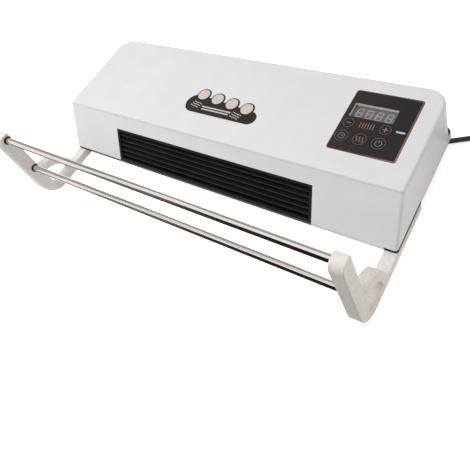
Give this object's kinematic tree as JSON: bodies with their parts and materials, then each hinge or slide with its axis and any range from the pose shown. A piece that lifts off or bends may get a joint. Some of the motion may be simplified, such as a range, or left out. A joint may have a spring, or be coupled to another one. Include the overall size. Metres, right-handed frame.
{
  "type": "wall fan heater with towel rack",
  "caption": "Wall fan heater: white housing with a slanted black outlet grille, round-key control panel with display, and a towel rack of steel rods on end brackets below; cord with plug",
  "frame": {"origin": "midway between the round parts of the two hanging keyholes, on the wall plane", "axes": "+X along the heater to its right, +Y up when it hangs on the wall, +Z away from the wall; stored lying on its back as in the picture, with the wall plane as the floor"},
  "size_m": [0.6738, 0.2897, 0.1275],
  "materials": {
    "white_abs": "satin white moulding",
    "white_bracket": "warm white moulding",
    "black_abs": "fine matt black moulding",
    "panel_film": "charcoal printed film",
    "key_plastic": "charcoal key caps",
    "display_lens": "grey display window",
    "indicator_pc": "clear milky light pipe",
    "board_laminate": "green board",
    "switch_plastic": "black component bodies",
    "badge_brown": "dark brown printed plate",
    "badge_cream": "cream discs",
    "stainless": "bright drawn bar",
    "black_pp": "black moulding",
    "duct_plastic": "dark heat-proof moulding",
    "fin_aluminium": "mill finish strip",
    "motor_steel": "zinc plated sheet",
    "bush_bronze": "oil-filled bronze",
    "terminal_plastic": "blue terminal housing",
    "screw_steel": "zinc plated",
    "cord_pvc": "black flexible sheath",
    "blade_brass": "nickel plated brass"
  },
  "bodies": {
    "heater": {"front_shell": "white_abs", "bracket_left": "white_bracket", "bracket_right": "white_bracket", "rear_cover": "black_abs", "outlet_grille": "black_abs", "control_overlay": "panel_film", "led_display": "display_lens", "indicator_lens": "indicator_pc", "control_board": "board_laminate", "power_board": "board_laminate", "tact_switches": "switch_plastic", "relays": "switch_plastic", "badge_plate": "badge_brown", "badge_discs": "badge_cream", "towel_rod_outer": "stainless", "towel_rod_inner": "stainless", "rod_bushes": "black_pp", "air_duct": "duct_plastic", "heater_caps": "duct_plastic", "heater_fins": "fin_aluminium", "heater_bars": "fin_aluminium", "fan_motor": "motor_steel", "motor_bracket": "motor_steel", "thermal_cutout": "motor_steel", "fan_bearing": "bush_bronze", "terminal_block": "terminal_plastic", "cover_screws": "screw_steel", "bracket_screws": "screw_steel", "board_screws": "screw_steel", "duct_screws": "screw_steel", "motor_screws": "screw_steel", "power_screws": "screw_steel", "cord_gland": "cord_pvc", "power_cord": "cord_pvc", "cord_coil": "cord_pvc", "cord_tie": "cord_pvc", "plug_body": "cord_pvc", "plug_blades": "blade_brass"},
    "fan": {"fan_wheel": "black_pp", "motor_shaft": "stainless"},
    "timer_key": {"key_timer": "key_plastic"},
    "mode_key": {"key_mode": "key_plastic"},
    "power_key": {"key_power": "key_plastic"},
    "minus_key": {"key_minus": "key_plastic"},
    "plus_key": {"key_plus": "key_plastic"}
  },
  "joints": [
    {"name": "fan_spin", "type": "hinge", "parent": "heater", "child": "fan", "pos_m": [0, -0.061, 0.043], "axis": [1, 0, 0], "continuous": true},
    {"name": "timer_press", "type": "slide", "parent": "heater", "child": "timer_key", "axis": [0, 0, -1], "range_m": [0, 0.0005], "stiffness_N_per_m": 900},
    {"name": "mode_press", "type": "slide", "parent": "heater", "child": "mode_key", "axis": [0, 0, -1], "range_m": [0, 0.0005], "stiffness_N_per_m": 900},
    {"name": "power_press", "type": "slide", "parent": "heater", "child": "power_key", "axis": [0, 0, -1], "range_m": [0, 0.0005], "stiffness_N_per_m": 900},
    {"name": "minus_press", "type": "slide", "parent": "heater", "child": "minus_key", "axis": [0, 0, -1], "range_m": [0, 0.0005], "stiffness_N_per_m": 900},
    {"name": "plus_press", "type": "slide", "parent": "heater", "child": "plus_key", "axis": [0, 0, -1], "range_m": [0, 0.0005], "stiffness_N_per_m": 900}
  ]
}
